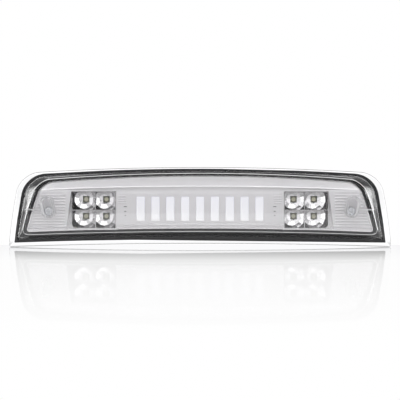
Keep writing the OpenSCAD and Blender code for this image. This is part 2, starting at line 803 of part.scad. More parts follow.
rear_housing();
outer_lens();
lens_adhesive();
cab_gasket();
reflector_bezel();
bezel_screws();
brake_diffuser();
brake_cell_divider();
brake_led_board();
brake_leds();
brake_resistors();
brake_board_screws();
brake_board_header();
supply_leads();
left_cargo_reflector();
right_cargo_reflector();
left_cargo_board();
right_cargo_board();
left_cargo_leds();
right_cargo_leds();
cargo_resistors();
cargo_board_screws();
left_cargo_leads();
right_cargo_leads();
lead_plugs();
left_screw_sleeve();
right_screw_sleeve();
left_mounting_screw();
right_mounting_screw();
left_screw_washer();
right_screw_washer();
left_screw_seal();
right_screw_seal();
power_inlet();
inlet_pins();
inlet_seal();
inlet_screws();
vent_caps();
vent_membranes();
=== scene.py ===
# %% [markdown]
# # A third brake light with cargo lamps
#
# This lesson dresses a working model of a high-mounted brake light. The frame that is loaded here
# already holds every part at its true size and place. The cells below add what makes it look real:
# the clear lens with its thick polished walls, the silver reflector with its steps and ribs, the
# faceted cups of the cargo lamps, the opal bars, the screws with their threads, and a finish for
# every surface.

from math import atan2, cos, pi, radians, sin, tan

import bpy
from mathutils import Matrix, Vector


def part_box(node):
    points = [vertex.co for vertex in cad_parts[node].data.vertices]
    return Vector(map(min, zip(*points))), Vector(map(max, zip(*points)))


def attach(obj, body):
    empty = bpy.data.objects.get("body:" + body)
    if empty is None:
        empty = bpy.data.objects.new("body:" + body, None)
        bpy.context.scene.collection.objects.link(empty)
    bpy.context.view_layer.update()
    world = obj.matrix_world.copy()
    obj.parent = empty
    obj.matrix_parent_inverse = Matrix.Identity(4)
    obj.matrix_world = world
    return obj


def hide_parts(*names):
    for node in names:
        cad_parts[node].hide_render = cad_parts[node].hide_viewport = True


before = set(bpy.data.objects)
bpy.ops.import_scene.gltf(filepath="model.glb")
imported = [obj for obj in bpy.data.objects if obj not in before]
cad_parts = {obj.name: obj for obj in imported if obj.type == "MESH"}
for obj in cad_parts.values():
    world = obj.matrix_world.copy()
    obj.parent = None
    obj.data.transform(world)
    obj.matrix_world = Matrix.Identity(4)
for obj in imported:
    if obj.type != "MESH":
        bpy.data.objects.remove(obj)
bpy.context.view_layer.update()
MM = 0.001
LAMP = "lamp"
SIDES = {"left": -1, "right": 1}

# %% [markdown]
# ## Places taken from the frame
#
# A lamp is drawn around a few levels: the floor that it stands on, the face of the clear dome, the
# flange, the black deck under it and the silver plate. All of them are read from the boxes of the
# working parts, so a change of the model moves the finished pieces too.

# %% Levels and widths
lens_low, lens_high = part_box("outer_lens")
housing_low, housing_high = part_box("rear_housing")
bezel_low, bezel_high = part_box("reflector_bezel")
screw_low, screw_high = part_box("right_mounting_screw")
sleeve_low, sleeve_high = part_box("right_screw_sleeve")
floor_z = lens_low[2]
front_y = lens_low[1]
deck_y = housing_low[1]
flange_y = deck_y - 3 * MM
pan_y = sleeve_low[1] + 0.1 * MM
plate_y = pan_y - 1.8 * MM
lens_leg_y = lens_high[1]
screw_x = (screw_low[0] + screw_high[0]) / 2
print(f"dome face at {front_y / MM:.1f} mm, deck at {deck_y / MM:.1f} mm, screws at {screw_x / MM:.1f} mm")


# %% [markdown]
# ## Working by hand, in code
#
# Modelling by hand is a run of small moves: select some faces, edges or points, then extrude, inset,
# bevel or move them. Code does the same, but it can't click, so it selects by place. These helpers
# keep that short. Everything is deselected first, because an operator acts on all that is selected.

# %% Selecting and switching modes
def nothing_selected():
    if bpy.context.mode != "OBJECT":
        bpy.ops.object.mode_set(mode="OBJECT")
    bpy.ops.object.select_all(action="DESELECT")


def only(piece):
    """Makes piece the one selected and active object."""
    nothing_selected()
    piece.select_set(True)
    bpy.context.view_layer.objects.active = piece


def pick(piece, kind, test):
    """Selects the points, edges or faces whose middle and direction pass test, and opens edit mode."""
    only(piece)
    mesh = piece.data
    for group in (mesh.vertices, mesh.edges, mesh.polygons):
        for item in group:
            item.select = False
    count = 0
    if kind == "VERT":
        for v in mesh.vertices:
            v.select = test(v.co, v.normal)
            count += v.select
    if kind == "EDGE":
        for e in mesh.edges:
            a, b = (mesh.vertices[i].co for i in e.vertices)
            e.select = test((a + b) / 2, b - a)
            count += e.select
            for i in e.vertices:
                mesh.vertices[i].select = mesh.vertices[i].select or e.select
    if kind == "FACE":
        for f in mesh.polygons:
            f.select = test(f.center, f.normal)
            count += f.select
    bpy.context.tool_settings.mesh_select_mode = (kind == "VERT", kind == "EDGE", kind == "FACE")
    bpy.ops.object.mode_set(mode="EDIT")
    return count


def whole(piece):
    only(piece)
    bpy.context.tool_settings.mesh_select_mode = (True, False, False)
    bpy.ops.object.mode_set(mode="EDIT")
    bpy.ops.mesh.select_all(action="SELECT")


def placed(piece):
    """Leaves edit mode and puts the piece's place and turn into its mesh."""
    only(piece)
    bpy.ops.object.transform_apply(location=True, rotation=True, scale=True)
    return piece


def modify(piece, kind, **settings):
    """Adds a modifier, sets it and applies it."""
    only(piece)
    m = piece.modifiers.new(kind.title(), kind)
    for key, value in settings.items():
        setattr(m, key, value)
    bpy.ops.object.modifier_apply(modifier=m.name)


def joined(pieces):
    only(pieces[0])
    for p in pieces:
        p.select_set(True)
    bpy.ops.object.join()
    return bpy.context.object


def carve(piece, cutter, operation="DIFFERENCE"):
    """Cuts with, adds or keeps what lies inside a closed cutter, and throws the cutter away."""
    modify(piece, "BOOLEAN", operation=operation, solver="EXACT", object=cutter)
    bpy.data.objects.remove(cutter, do_unlink=True)


def outward(piece):
    whole(piece)
    bpy.ops.mesh.remove_doubles(threshold=0.002 * MM)
    bpy.ops.mesh.normals_make_consistent(inside=False)
    placed(piece)


# %% [markdown]
# ## Simple stock: boxes, rods and prisms
#
# Most cuts need a block, a rod or a flat bar. Each starts as a primitive at its size and place. A
# prism along the view starts as a circle with as many corners as the outline has, whose points are
# put at the outline's corners before the face is extruded.

# %% Box, rod and prism
def box(name, x, y, z):
    """A block between two levels along each axis."""
    nothing_selected()
    middle = [(a + b) / 2 for a, b in (x, y, z)]
    size = [abs(b - a) for a, b in (x, y, z)]
    bpy.ops.mesh.primitive_cube_add(size=1, location=middle, scale=size)
    piece = bpy.context.object
    piece.name = name
    return placed(piece)


def rod(name, x, z, y, radius, sides=48):
    """A cylinder along Y between two levels."""
    nothing_selected()
    bpy.ops.mesh.primitive_cylinder_add(
        vertices=sides, radius=radius, depth=abs(y[1] - y[0]),
        location=(x, (y[0] + y[1]) / 2, z), rotation=(pi / 2, 0, 0),
    )
    piece = bpy.context.object
    piece.name = name
    return placed(piece)


def prism(name, corners, y):
    """A flat-sided bar along Y over an outline given as (x, z) corners."""
    nothing_selected()
    bpy.ops.mesh.primitive_circle_add(vertices=len(corners), radius=0.01, fill_type="NGON")
    piece = bpy.context.object
    piece.name = name
    for v, (x, z) in zip(piece.data.vertices, corners):
        v.co = (x, y[0], z)
    whole(piece)
    bpy.ops.mesh.extrude_region_move(TRANSFORM_OT_translate={"value": (0, y[1] - y[0], 0)})
    outward(piece)
    return piece


# %% [markdown]
# ## The lamp's outline
#
# Seen from behind the truck, every ring of the lamp is one shape at another size: a wide trapezoid
# with small lower corners, big upper corners and gently arched long edges. It starts as a plane. Its
# upper edge is scaled in, its corners are bevelled to arcs, its long edges are subdivided, and the
# points are then lifted by a parabola, which is what gives the arch.

# %% One ring of the outline
class Outline:
    """Half widths, levels above the floor, corner radii and arches, all in millimetres."""

    def __init__(self, half_low, half_high, low, high, toe, shoulder, arch_low, arch_high):
        self.half_low, self.half_high = half_low, half_high
        self.low, self.high = low, high
        self.toe, self.shoulder = toe, shoulder
        self.arch_low, self.arch_high = arch_low, arch_high

    def grown(self, side, low, high):
        return Outline(
            self.half_low + side, self.half_high + side, self.low - low, self.high + high,
            max(self.toe + (side + low) / 2, 0.6), max(self.shoulder + (side + high) / 2, 0.6),
            self.arch_low, self.arch_high,
        )


SIDE_BOW = 1.2


def add_outline(shape, y, name="outline"):
    """The outline as a flat face at level y, facing the viewer."""
    nothing_selected()
    height = (shape.high - shape.low) * MM
    middle_z = floor_z + (shape.high + shape.low) / 2 * MM
    bpy.ops.mesh.primitive_plane_add(size=1, location=(0, y, middle_z), rotation=(pi / 2, 0, 0))
    piece = placed(bpy.context.object)
    piece.name = name
    whole(piece)
    bpy.ops.transform.resize(
        value=(2 * shape.half_low * MM, 1, height), center_override=(0, y, middle_z)
    )
    lean = shape.half_high / shape.half_low
    pick(piece, "VERT", lambda p, n: p.z > middle_z)
    bpy.ops.transform.resize(value=(lean, 1, 1), center_override=(0, y, middle_z))
    tilt = atan2(shape.half_low - shape.half_high, shape.high - shape.low)
    pick(piece, "VERT", lambda p, n: p.z < middle_z)
    round_off(shape.toe / tan(pi / 4 - tilt / 2), 4)
    pick(piece, "VERT", lambda p, n: p.z > middle_z)
    round_off(shape.shoulder / tan(pi / 4 + tilt / 2), 10)
    width = shape.half_high * MM
    pick(piece, "EDGE", lambda p, d: abs(d.x) > width)
    bpy.ops.mesh.subdivide(number_cuts=23)
    pick(piece, "EDGE", lambda p, d: abs(d.z) > height / 3)
    bpy.ops.mesh.subdivide(number_cuts=7)
    whole(piece)
    bpy.ops.mesh.dissolve_faces()
    only(piece)
    arch(piece, shape)
    return piece


def round_off(reach, segments):
    bpy.ops.mesh.bevel(
        offset=reach * MM, offset_type="OFFSET", segments=segments, affect="VERTICES",
        profile=0.5, clamp_overlap=False,
    )


def arch(piece, shape):
    """Lifts each point by the parabola of its level, and bows the sides."""
    for v in piece.data.vertices:
        t = ((v.co.z - floor_z) / MM - shape.low) / (shape.high - shape.low)
        half = (shape.half_low + (shape.half_high - shape.half_low) * t) * MM
        rise = shape.arch_low + (shape.arch_high - shape.arch_low) * t
        v.co.z += rise * MM * (1 - (v.co.x / half) ** 2)
        v.co.x *= 1 + SIDE_BOW * MM * 4 * t * (1 - t) / half


def outline_slab(shape, y, name="slab"):
    """A closed plate in the outline between two levels."""
    piece = add_outline(shape, y[0], name)
    whole(piece)
    bpy.ops.mesh.extrude_region_move(TRANSFORM_OT_translate={"value": (0, y[1] - y[0], 0)})
    outward(piece)
    return piece


flange = Outline(lens_high[0] / MM + 0.3, 0, 0, 79.1, 2.5, 24, 3.6, 6.5)
flange.half_high = flange.half_low - 12
rim = flange.grown(-5.8, -4.6, -1.7)
rim.shoulder = flange.shoulder
foot = rim.grown(-3.2, -3.0, -2.0)
silver = Outline(bezel_high[0] / MM + 0.75, 0, 15.8, 69.0, 2.5, 16, 3.8, 7.5)
silver.half_high = silver.half_low - 16.7
face = silver.grown(3.6, 3.0, 2.7)
brow = face.grown(2.2, 3.2, 1.6)
print(f"flange {2 * flange.half_low:.0f} mm wide, silver panel {2 * silver.half_low:.0f} mm")


# %% [markdown]
# ## Writing a material as sums
#
# A finish is built from nodes, and wiring them by hand hides the idea. Here one small class wraps a
# socket, so that `grain * 0.2 + 0.4` adds the Math nodes by itself. Every other node comes from one
# method that takes its type, its settings and its inputs.

# %% A socket that can be added and multiplied
class Wire:
    """One output socket of a material's nodes."""

    def __init__(self, tree, socket=None):
        self.tree = tree
        self.socket = socket

    def node(self, kind, settings=None, inputs=None, output=0):
        n = self.tree.nodes.new(kind)
        for key, value in (settings or {}).items():
            if key == "stops":
                for i, (place, colour) in enumerate(value):
                    stop = n.color_ramp.elements[i] if i < 2 else n.color_ramp.elements.new(place)
                    stop.position, stop.color = place, (*colour, 1)
            else:
                setattr(n, key, value)
        for key, value in (inputs or {}).items():
            if isinstance(value, Wire):
                self.tree.links.new(value.socket, n.inputs[key])
            else:
                n.inputs[key].default_value = value
        return Wire(self.tree, n.outputs[output])

    def maths(self, operation, a, b=0.0, clamp=False):
        return self.node("ShaderNodeMath", {"operation": operation, "use_clamp": clamp}, {0: a, 1: b})

    def __add__(self, other):
        return self.maths("ADD", self, other)

    def __mul__(self, other):
        return self.maths("MULTIPLY", self, other)

    def __sub__(self, other):
        return self.maths("SUBTRACT", self, other)

    def __rsub__(self, other):
        return self.maths("SUBTRACT", other, self)

    __radd__ = __add__
    __rmul__ = __mul__

    def power(self, exponent):
        return self.maths("POWER", self, exponent)

    def above(self, level):
        return self.maths("GREATER_THAN", self, level)

    def clamped(self):
        return self.maths("ADD", self, 0.0, clamp=True)


def blank(name):
    """A new material with an empty tree; gives the material, a wire to start from and the output."""
    m = bpy.data.materials.new(name)
    m.use_nodes = True
    m.node_tree.nodes.clear()
    start = Wire(m.node_tree)
    out = m.node_tree.nodes.new("ShaderNodeOutputMaterial")
    return m, start, out


def place_of(start, scale=(1, 1, 1)):
    """Object coordinates, in metres, stretched by scale."""
    coordinates = start.node("ShaderNodeTexCoord", output="Object")
    return start.node("ShaderNodeMapping", {"vector_type": "POINT"}, {0: coordinates, "Scale": scale})


def noise(start, where, scale, detail=2.0, roughness=0.5):
    return start.node(
        "ShaderNodeTexNoise",
        inputs={"Vector": where, "Scale": scale, "Detail": detail, "Roughness": roughness},
    )


def blend(start, factor, a, b):
    """A colour between a and b."""
    settings = {"data_type": "RGBA", "blend_type": "MIX"}
    return start.node("ShaderNodeMix", settings, {0: factor, 6: (*a, 1), 7: (*b, 1)}, output=2)


def bumped(start, height, strength, distance):
    inputs = {"Height": height, "Strength": strength, "Distance": distance}
    return start.node("ShaderNodeBump", inputs=inputs)


# %% [markdown]
# ## The moulded and painted finishes
#
# Black nylon-filled plastic is never quite black: it is a dark grey with a fine spark-eroded grain
# that the mould leaves, and a little sheen where hands have been. Small noise drives its roughness
# and a shallow bump. The same recipe, with other colours and grains, covers foam, rubber and the
# other plastics.

# %% Grained plastics, rubbers and metals
def finish(start, out, **inputs):
    named = {key.replace("_", " ").title().replace("Ior", "IOR"): value for key, value in inputs.items()}
    shader = start.node("ShaderNodeBsdfPrincipled", inputs=named)
    start.tree.links.new(shader.socket, out.inputs["Surface"])


def grained(name, dark, light, rough, grain=900.0, depth=0.03, coat=0.0):
    """Two close colours in soft patches, with a fine grain in the gloss and the surface."""
    spread = 0.12
    m, start, out = blank(name)
    where = place_of(start)
    patches = noise(start, where, 60.0, 3.0)
    fine = noise(start, where, grain, 2.0, 0.6)
    finish(
        start, out,
        base_color=blend(start, patches, dark, light),
        roughness=(patches * spread + fine * spread + (rough - spread)).clamped(),
        metallic=0.0, coat_weight=coat, coat_roughness=0.1,
        normal=bumped(start, fine, 0.35, depth * MM),
    )
    return m


def brushed(name, dark, light, rough, stretch):
    """Metal with fine lines, drawn out along the axis where stretch is small."""
    m, start, out = blank(name)
    lines = noise(start, place_of(start, stretch), 1.0, 3.0, 0.6)
    patches = noise(start, place_of(start), 90.0, 2.0)
    finish(
        start, out,
        base_color=blend(start, lines * 0.6 + patches * 0.4, dark, light),
        roughness=(lines * 0.14 + patches * 0.08 + (rough - 0.1)).clamped(),
        metallic=1.0, normal=bumped(start, lines, 0.25, 0.01 * MM),
    )
    return m


black_plastic = grained("black_plastic", (0.008, 0.008, 0.010), (0.016, 0.016, 0.019), 0.34, depth=0.02)
foam = grained("gasket_foam", (0.020, 0.020, 0.022), (0.045, 0.045, 0.047), 0.95, grain=700, depth=0.25)
sealant = grained("sealant", (0.006, 0.006, 0.007), (0.012, 0.012, 0.013), 0.45, grain=300, depth=0.05)
seal_rubber = grained("seal_rubber", (0.012, 0.012, 0.013), (0.025, 0.025, 0.026), 0.7)
silicone = grained("silicone_seal", (0.40, 0.10, 0.05), (0.50, 0.15, 0.07), 0.6)
white_plastic = grained("white_plastic", (0.78, 0.78, 0.78), (0.86, 0.86, 0.85), 0.5)
ivory = grained("plug_nylon", (0.70, 0.66, 0.54), (0.80, 0.76, 0.64), 0.45)
board_green = grained("board_lacquer", (0.01, 0.10, 0.045), (0.015, 0.16, 0.07), 0.35, grain=400, coat=0.5)
chip_black = grained("chip_ceramic", (0.015, 0.015, 0.015), (0.04, 0.04, 0.04), 0.5)
lead_red = grained("red_insulation", (0.42, 0.02, 0.015), (0.55, 0.04, 0.03), 0.4)
lead_black = grained("black_insulation", (0.010, 0.010, 0.010), (0.025, 0.025, 0.025), 0.4)
film = grained("vent_film", (0.75, 0.76, 0.78), (0.86, 0.87, 0.88), 0.8, grain=2500)
zinc = brushed("bright_zinc", (0.62, 0.63, 0.66), (0.80, 0.81, 0.83), 0.26, (900, 900, 120))
dark_screw = brushed("plated_screw", (0.30, 0.30, 0.32), (0.48, 0.48, 0.50), 0.32, (900, 900, 200))
brass = brushed("turned_brass", (0.60, 0.42, 0.16), (0.78, 0.58, 0.26), 0.3, (200, 1500, 200))
print("moulded and metal finishes are ready")


# %% [markdown]
# ## Clear, chromed and opal finishes
#
# The lens is clear acrylic, a little wavy where the melt cooled. The reflector is aluminium vapour
# on a satin-tooled plastic plate, so it is silver but soft, and the cups are the same metal over
# polished facets, painted darker as shade to hold down their reflections. The bars are opal
# acrylic: white, with painted violet shade towards the top, where the plate above shades them.
# Light that clear plastic pipes inside itself is costly to trace, so the bars and the wells' walls
# are given a weak painted glow in its place.

# %% Optical finishes
def clear_acrylic():
    m, start, out = blank("clear_acrylic")
    swell = noise(start, place_of(start), 26.0, 2.0)
    fine = noise(start, place_of(start), 420.0, 2.0)
    finish(
        start, out,
        base_color=(0.955, 0.957, 0.962, 1), roughness=0.01, transmission_weight=1.0, ior=1.42,
        normal=bumped(start, swell + fine * 0.02, 0.05, 0.06 * MM),
    )
    return m


def frosted_glint_acrylic():
    """The wells' walls are spark-eroded, so they scatter light and look white, with a weak painted glow;
    on the dome's front edge the same finish is a painted highlight line.
    """
    m, start, out = blank("frosted_glint_acrylic")
    fine = noise(start, place_of(start), 900.0, 3.0)
    # the emission is a weak painted glow; on the dome's front edge this finish is a painted highlight line
    finish(
        start, out,
        base_color=(0.97, 0.97, 0.98, 1), roughness=(fine * 0.2 + 0.22).clamped(),
        transmission_weight=0.2, ior=1.3, emission_color=(1, 1, 1, 1), emission_strength=0.08,
        normal=bumped(start, fine, 0.3, 0.03 * MM),
    )
    return m


def vapour_metal(name, dark, light, rough, wave, grain):
    """Aluminium over plastic: soft swells from the mould, a fine grain, slightly uneven gloss."""
    m, start, out = blank(name)
    where = place_of(start)
    swell = noise(start, where, wave, 2.0)
    fine = noise(start, where, grain, 3.0, 0.65)
    finish(
        start, out,
        base_color=blend(start, swell * 0.7 + fine * 0.3, dark, light),
        roughness=(swell * 0.06 + fine * 0.08 + (rough - 0.07)).clamped(), metallic=1.0,
        normal=bumped(start, fine * 0.3 + swell, 0.18, 0.04 * MM),
    )
    return m


def opal_acrylic():
    m, start, out = blank("opal_acrylic")
    coordinates = start.node("ShaderNodeTexCoord", output="Object")
    height = start.node("ShaderNodeSeparateXYZ", inputs={"Vector": coordinates}, output="Z")
    low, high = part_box("brake_diffuser")
    up = ((height - low[2]) * (1 / (high[2] - low[2]))).clamped()
    cloud = noise(start, place_of(start), 120.0, 2.0)
    # painted shade: violet mixed in towards the top, where the plate above shades the bars; the emission
    # is a painted glow
    finish(
        start, out,
        base_color=blend(start, up * 0.85 + cloud * 0.15, (0.98, 0.98, 0.99), (0.86, 0.86, 0.96)),
        roughness=(cloud * 0.1 + 0.3).clamped(), coat_weight=0.4, coat_roughness=0.08,
        emission_color=(1, 1, 1, 1), emission_strength=0.34,
    )
    return m


acrylic = clear_acrylic()
frosted_and_glint = frosted_glint_acrylic()
satin_silver = vapour_metal("satin_silver", (0.91, 0.895, 0.91), (0.97, 0.955, 0.97), 0.44, 30.0, 900.0)
bright_silver = vapour_metal("bright_silver", (0.86, 0.85, 0.86), (0.94, 0.93, 0.94), 0.12, 40.0, 700.0)
# the cups' vapour metal is given a darker colour than the panel's: painted shade that holds down their
# bright reflections
cup_chrome = vapour_metal("cup_chrome", (0.60, 0.59, 0.60), (0.70, 0.69, 0.70), 0.12, 60.0, 500.0)
opal = opal_acrylic()
phosphor = grained("phosphor", (0.93, 0.90, 0.66), (0.97, 0.95, 0.80), 0.4, grain=1800, coat=0.6)
package = grained("led_package", (0.22, 0.21, 0.16), (0.34, 0.33, 0.26), 0.45)
red_chip = grained("red_led", (0.55, 0.05, 0.03), (0.72, 0.10, 0.06), 0.3, coat=0.8)
print("clear, chromed and opal finishes are ready")


# %% [markdown]
# ## The clear lens
#
# The lens is one thick moulding: a flange that bolts flat over the black housing, walls that rise
# from it, a narrow sloping shoulder and a flat face. It is built as rings of one outline, each at
# its own size and level, and the rings are bridged in pairs, down the outside and back up the
# inside, until two faces close it. That gives the wall its true thickness, which clear plastic
# needs: light bends at both of its surfaces.

# %% Rings bridged into a skin
def height(millimetres):
    """A level given in millimetres above the flange's lower corners."""
    return floor_z + millimetres * MM


def ring_points(piece, *numbers):
    """Selects the points of some numbered rings and leaves the piece in edit mode."""
    only(piece)
    bpy.context.tool_settings.mesh_select_mode = (True, False, False)
    bpy.ops.object.mode_set(mode="EDIT")
    bpy.ops.mesh.select_all(action="DESELECT")
    for number in numbers:
        piece.vertex_groups.active_index = piece.vertex_groups[f"ring{number:02d}"].index
        bpy.ops.object.vertex_group_select()


def skin(name, rings):
    loops = []
    for k, (shape, y) in enumerate(rings):
        ring = add_outline(shape, y, name)
        ring.vertex_groups.new(name=f"ring{k:02d}").add(range(len(ring.data.vertices)), 1.0, "ADD")
        whole(ring)
        bpy.ops.mesh.delete(type="ONLY_FACE")
        loops.append(placed(ring))
    piece = joined(loops)
    for k in range(len(rings) - 1):
        ring_points(piece, k, k + 1)
        bpy.ops.mesh.bridge_edge_loops()
    for k in (0, len(rings) - 1):
        ring_points(piece, k)
        bpy.ops.mesh.edge_face_add()
    outward(piece)
    piece.vertex_groups.clear()
    return piece


def soft(piece, width, angle=30, segments=2):
    """Rounds every sharp edge a little and shades the piece smooth between the rest."""
    if width:
        modify(
            piece, "BEVEL", width=width * MM, segments=segments, limit_method="ANGLE",
            angle_limit=radians(angle), harden_normals=False, use_clamp_overlap=True,
        )
    only(piece)
    bpy.ops.object.shade_smooth_by_angle(angle=radians(angle + 8))
    modify(piece, "WEIGHTED_NORMAL", keep_sharp=True, weight=100, thresh=0.05)
    return piece


def painted(piece, *materials):
    piece.data.materials.clear()
    for m in materials:
        piece.data.materials.append(m)
    return piece


def on_lamp(piece, slot, *nodes, body=LAMP):
    """Ties a finished piece to its body and hides the working parts it stands for; slot is not used."""
    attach(piece, body)
    if nodes:
        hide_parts(*nodes)
    print(f"{piece.name}: {len(piece.data.polygons)} faces")
    return piece


leg = foot.grown(-0.5, -0.5, -0.3)
lens = skin("clear_lens", [
    (face.grown(-1.4, -1.4, -1.4), front_y),
    (face.grown(-0.5, -0.5, -0.5), front_y + 0.15 * MM),
    (face, front_y + 0.7 * MM),
    (brow, front_y + 3.4 * MM),
    (foot.grown(-1.0, -0.6, -0.6), flange_y - 1.6 * MM),
    (foot.grown(-0.5, -0.3, -0.3), flange_y - 0.4 * MM),
    (foot, flange_y - 0.08 * MM),
    (flange.grown(-1.3, -1.3, -1.3), flange_y),
    (flange.grown(-0.4, -0.4, -0.4), flange_y + 0.35 * MM),
    (flange, flange_y + 1.2 * MM),
    (flange, deck_y - 0.6 * MM),
    (flange.grown(-0.6, -0.6, -0.6), deck_y),
    (leg, deck_y + 0.08 * MM),
    (leg, lens_leg_y),
    (leg.grown(-2.0, -2.0, -1.8), lens_leg_y - 0.08 * MM),
    (leg.grown(-2.0, -2.0, -1.8), deck_y - 0.5 * MM),
    (foot.grown(-2.7, -2.7, -2.4), flange_y - 1.0 * MM),
    (brow.grown(-2.4, -2.4, -2.4), front_y + 4.4 * MM),
    (face.grown(-1.8, -1.8, -1.8), front_y + 2.5 * MM),
    (face.grown(-2.6, -2.6, -2.6), front_y + 2.4 * MM),
])
print("lens skin:", len(lens.data.polygons), "faces")

# %% [markdown]
# ## Wells for the two screws
#
# A screwdriver has to reach the screws from the front, so at each end the lens dives in as a deep
# open well down to a seat on the housing. The well's outline is a leaning slot. A thin web ties
# each well to the dome's side; its frosted back, with a weak painted glow, shows as a bright bar.
# The walls of the wells and webs are frosted with the same weak painted glow, and the dome's front
# edge gets that finish as a painted highlight line.

# %% Wells and webs
well_r, well_wall, well_rise, well_lean = 5.3, 1.6, 9.0, 2.0
well_outside = well_r + well_wall
well_arc_steps = 16
seat_y = pan_y - 2.7 * MM
web_z = (1.0 * MM, 2.4 * MM)


def stadium(name, side, y, radius):
    """A bar along Y with the well's outline: two half circles and the straight sides between."""
    ends = [(side * (screw_x / MM + well_lean), well_rise), (side * screw_x / MM, 0)]
    turn = atan2(well_rise, side * well_lean)
    corners = []
    for k, (x, z) in enumerate(ends):
        for i in range(well_arc_steps + 1):
            a = turn + pi * (k - 0.5) + pi * i / well_arc_steps
            corners.append(((x + radius * cos(a)) * MM, (z + radius * sin(a)) * MM))
    return prism(name, corners, y)


for side in SIDES.values():
    carve(lens, stadium("well", side, (front_y + 1.2 * MM, pan_y - 0.2 * MM), well_outside), "UNION")
    web_x = (side * (screw_x + 6.1 * MM), side * (silver.half_low - 2) * MM)
    carve(lens, box("web", web_x, (front_y + 1.2 * MM, plate_y - 3.2 * MM), web_z), "UNION")
    carve(lens, stadium("well hollow", side, (front_y - 1 * MM, seat_y), well_r))
    carve(lens, rod("screw hole", side * screw_x, 0, (seat_y - MM, pan_y + MM), 3.25 * MM))
outward(lens)
soft(lens, 0.35, 32)
painted(lens, acrylic, frosted_and_glint)


def is_frosted_or_glint(p, n):
    """True for the dome's front edge, which carries a painted highlight line, the webs' backs and the
    walls of the wells and webs.
    """
    # the dome's front edge takes the frosted finish as a painted highlight line
    if p.y < front_y + 0.72 * MM:
        return n.y > -0.95
    out_by = abs(p.x) - screw_x
    slot = max(min(p.z, well_rise * MM), 0)
    from_axis = ((out_by - slot / well_rise * well_lean) ** 2 + (p.z - slot) ** 2) ** 0.5
    on_well = 5 * MM < from_axis < 7.1 * MM
    on_web = web_z[0] < p.z < web_z[1] and 0 < out_by < 21.5 * MM
    if on_web and n.y > 0.9:
        return p.y < plate_y
    return p.y > front_y + 2.6 * MM and abs(n.y) < 0.5 and (on_well or on_web)


print("frosted faces:", pick(lens, "FACE", is_frosted_or_glint))
lens.active_material_index = 1
bpy.ops.object.material_slot_assign()
placed(lens)
on_lamp(lens, "lens_clear", "outer_lens")


# %% [markdown]
# ## The silver reflector
#
# One tray of vapour-coated plastic fills the lens. Above the bars it swells forward to a crease that
# follows the arch of the roof, and falls back above the crease. A low bead crosses it under the
# bars, and a bright narrow lip runs round it. The panel is cut for the nine bars, the two cargo
# lamps and the two wells, and fine ribs at its ends break up the reflections.

# %% Plate and lip
plate = outline_slab(silver, (plate_y, pan_y), "silver_reflector")
lip = outline_slab(silver, (plate_y - 2.2 * MM, plate_y + 0.2 * MM), "lip")
carve(lip, outline_slab(silver.grown(-1.2, -1.2, -1.2), (plate_y - 4 * MM, plate_y + 2 * MM)))
soft(lip, 0.25, 30)
print("plate and lip:", len(plate.data.polygons) + len(lip.data.polygons), "faces")


# %% Upper strip with its crease, and the lower bead
def folded_strip(name, rows):
    """A strip across the lamp: each row is (height, drop at the ends, how far it stands forward)."""
    nothing_selected()
    bpy.ops.mesh.primitive_grid_add(x_subdivisions=48, y_subdivisions=len(rows) - 1, size=2)
    strip = bpy.context.object
    strip.name = name
    for v in strip.data.vertices:
        level, drop, forward = rows[round((v.co.y + 1) / 2 * (len(rows) - 1))]
        v.co = (v.co.x * silver.half_low * MM, plate_y - forward * MM, height(level - drop * v.co.x**2))
    whole(strip)
    bpy.ops.mesh.extrude_region_move(TRANSFORM_OT_translate={"value": (0, 3 * MM, 0)})
    outward(strip)
    keep = outline_slab(silver.grown(-0.4, -0.4, -0.4), (plate_y - 6 * MM, pan_y - 0.2 * MM))
    carve(strip, keep, "INTERSECT")
    return strip


upper_rows = [(53.0, 0, -0.6), (61.5, 0, 0.8), (64.9, 4.4, 2.1), (66.3, 4.6, 1.6), (84, 8, 0.3)]
bead_rows = [(22.2, 3.2, -0.4), (23.2, 3.2, 0.9), (24.1, 3.2, 0.9), (26.0, 3.2, -0.5)]
upper = folded_strip("upper strip", upper_rows)
lower = folded_strip("lower bead", bead_rows)
carve(plate, upper, "UNION")
carve(plate, lower, "UNION")
print("strips added:", len(plate.data.polygons), "faces")


# %% Windows for the bars, cups and wells
BARS = 9
led_low, led_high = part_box("brake_leds")
led_width = 3.5 * MM
bar_pitch = (led_high[0] - led_low[0] - led_width) / (BARS - 1)
bar_xs = [(i - (BARS - 1) / 2) * bar_pitch for i in range(BARS)]
diffuser_low, diffuser_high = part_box("brake_diffuser")
bar_z = (diffuser_low[2] + 2.1 * MM, diffuser_high[2] - 2.1 * MM)
cup_low, cup_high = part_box("right_cargo_reflector")
skirt_mm = 1.6
cargo_in, cargo_out = cup_low[0] + skirt_mm * MM, cup_high[0] - skirt_mm * MM
cargo_z = (cup_low[2] + skirt_mm * MM, cup_high[2] - skirt_mm * MM)
cargo_flare = 5.2 * MM


def cargo_corners(side, grow):
    """The four corners of a cargo lamp's window, whose outer edge leans in with the lamp's side."""
    g = grow * MM
    return [
        (side * (cargo_in - g), cargo_z[0] - g), (side * (cargo_out + g), cargo_z[0] - g),
        (side * (cargo_out - cargo_flare + g), cargo_z[1] + g), (side * (cargo_in - g), cargo_z[1] + g),
    ]


cut_y = (plate_y - 6 * MM, pan_y + MM)
window_z = (bar_z[0] - 0.2 * MM, bar_z[1] + 0.2 * MM)
for x in bar_xs:
    carve(plate, box("bar window", (x - 4.2 * MM, x + 4.2 * MM), cut_y, window_z))
for side in SIDES.values():
    carve(plate, prism("cargo window", cargo_corners(side, 0.2), cut_y))
    carve(plate, stadium("well window", side, cut_y, well_outside + 0.2))
print("windows cut:", len(plate.data.polygons), "faces")


